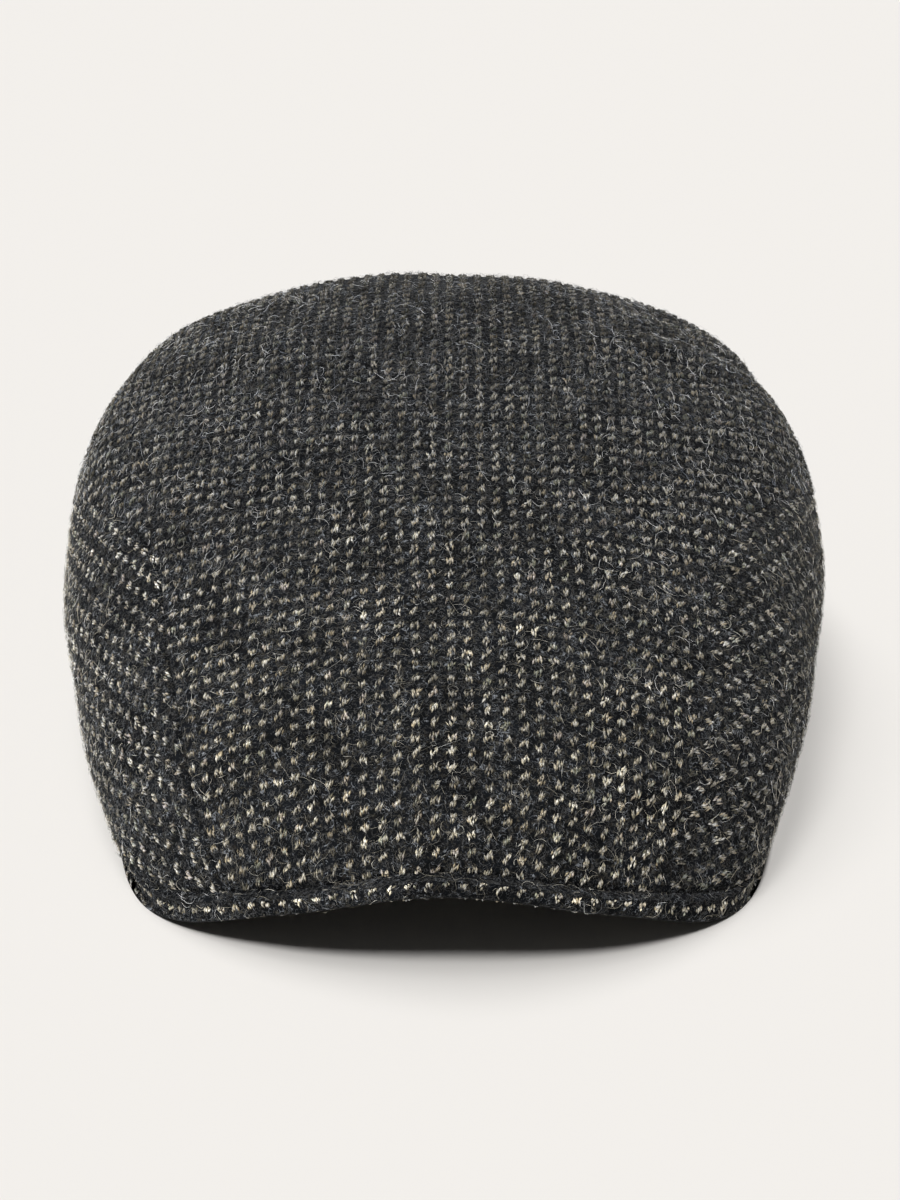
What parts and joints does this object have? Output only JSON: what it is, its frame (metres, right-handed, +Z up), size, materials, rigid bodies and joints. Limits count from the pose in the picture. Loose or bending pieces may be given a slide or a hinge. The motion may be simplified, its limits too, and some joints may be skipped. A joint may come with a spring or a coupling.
{
  "type": "flat cap",
  "caption": "Flat cap in flecked wool tweed: a low crown of sewn panels drawn forward over a short stiff peak, open below for the head.",
  "frame": {"origin": "centre of the outline on the floor, under the middle of the crown", "axes": "+Z up, -Y the way the peak points, +X the wearer's left"},
  "size_m": [0.1993, 0.2679, 0.0916],
  "materials": {
    "tweed": "hairy charcoal wool tweed with beige flecks"
  },
  "bodies": {
    "root": {"top_panel": "tweed", "side_panel_left": "tweed", "side_panel_right": "tweed", "peak": "tweed"}
  },
  "joints": []
}
